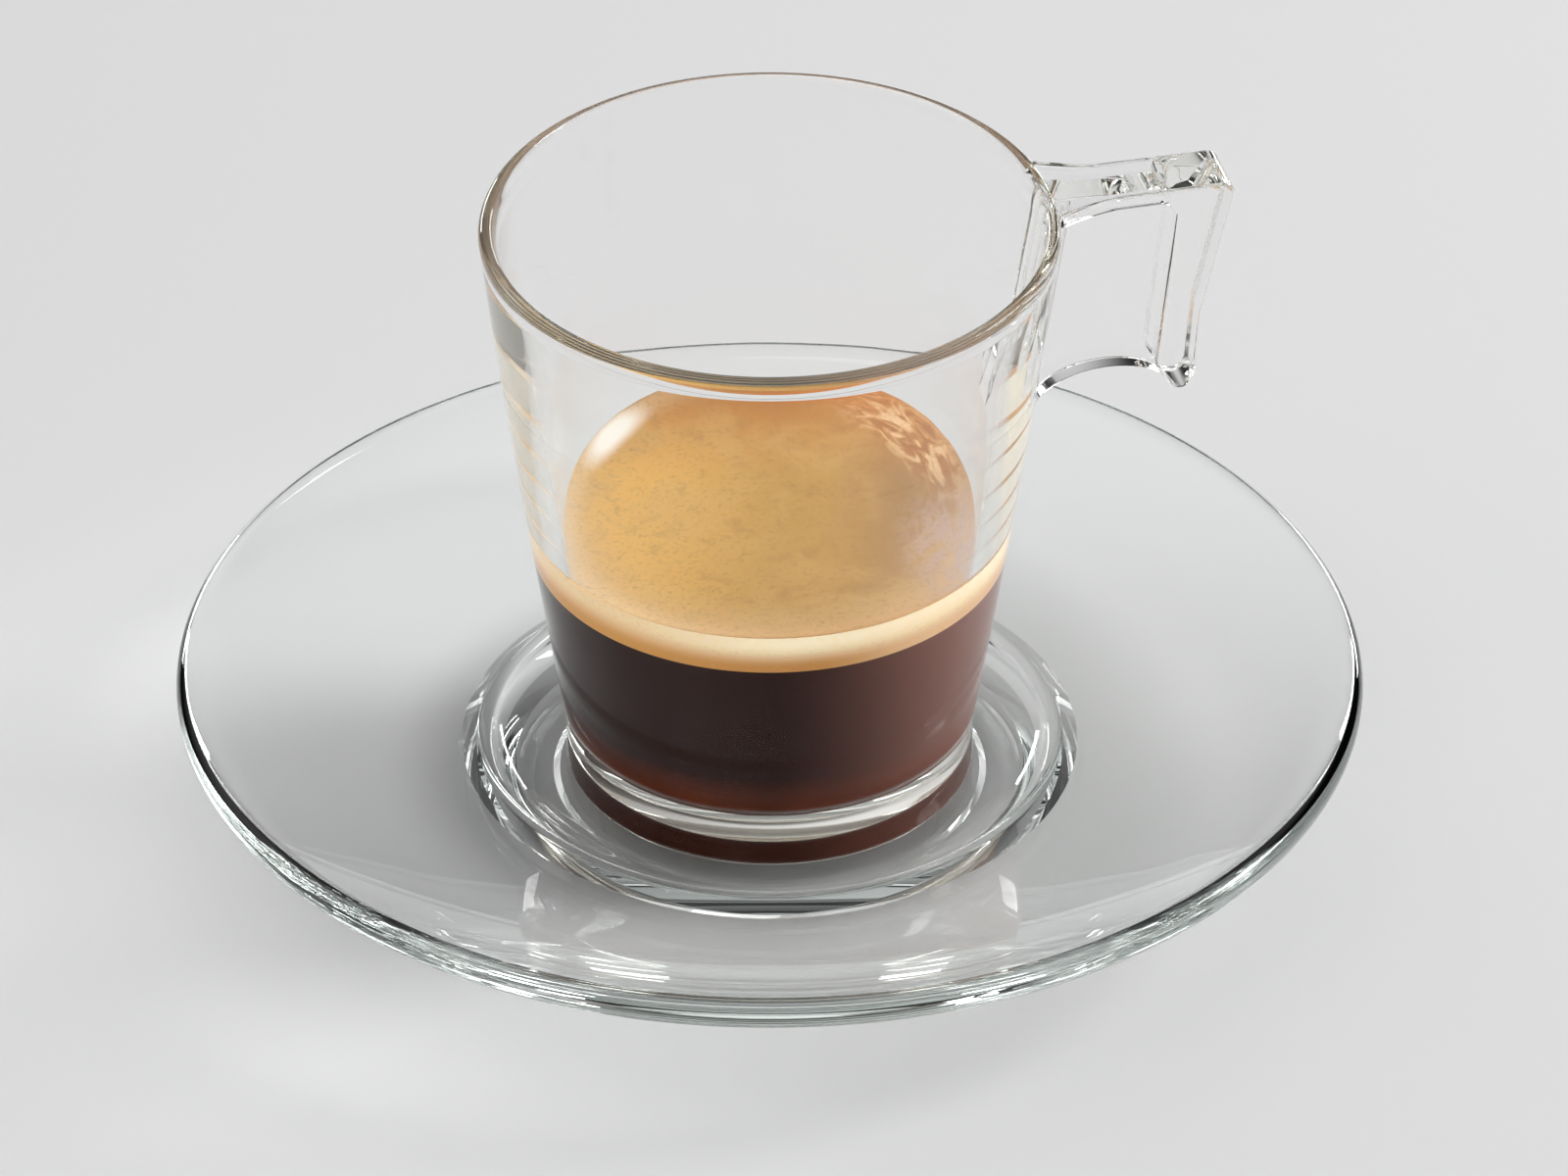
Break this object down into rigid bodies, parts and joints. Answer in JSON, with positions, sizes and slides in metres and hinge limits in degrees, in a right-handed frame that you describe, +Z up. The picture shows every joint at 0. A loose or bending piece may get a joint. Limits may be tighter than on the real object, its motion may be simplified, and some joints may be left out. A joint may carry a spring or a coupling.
{
  "type": "espresso in a glass cup",
  "caption": "Short espresso with a golden crema in a clear tapered glass cup with a flag-shaped pinch handle, on a round clear glass saucer.",
  "frame": {"origin": "centre of the saucer's foot ring, on the surface that it stands on", "axes": "+Z up along the common axis of the saucer and the cup, +X along the cup's handle, +Y completes a right-handed frame"},
  "size_m": [0.12, 0.12, 0.0675],
  "materials": {
    "clear_glass": "clear polished pressed glass, fire-rounded lip",
    "saucer_glass": "clear polished pressed glass with a faint green edge",
    "coffee": "very dark brown liquid coffee, nearly opaque, reddish brown along its thin lower edge",
    "crema": "golden tan foam, fine grained, browner towards one side and paler at the glass"
  },
  "bodies": {
    "root": {"cup": "clear_glass", "saucer": "saucer_glass", "coffee": "coffee", "crema": "crema"}
  },
  "joints": []
}
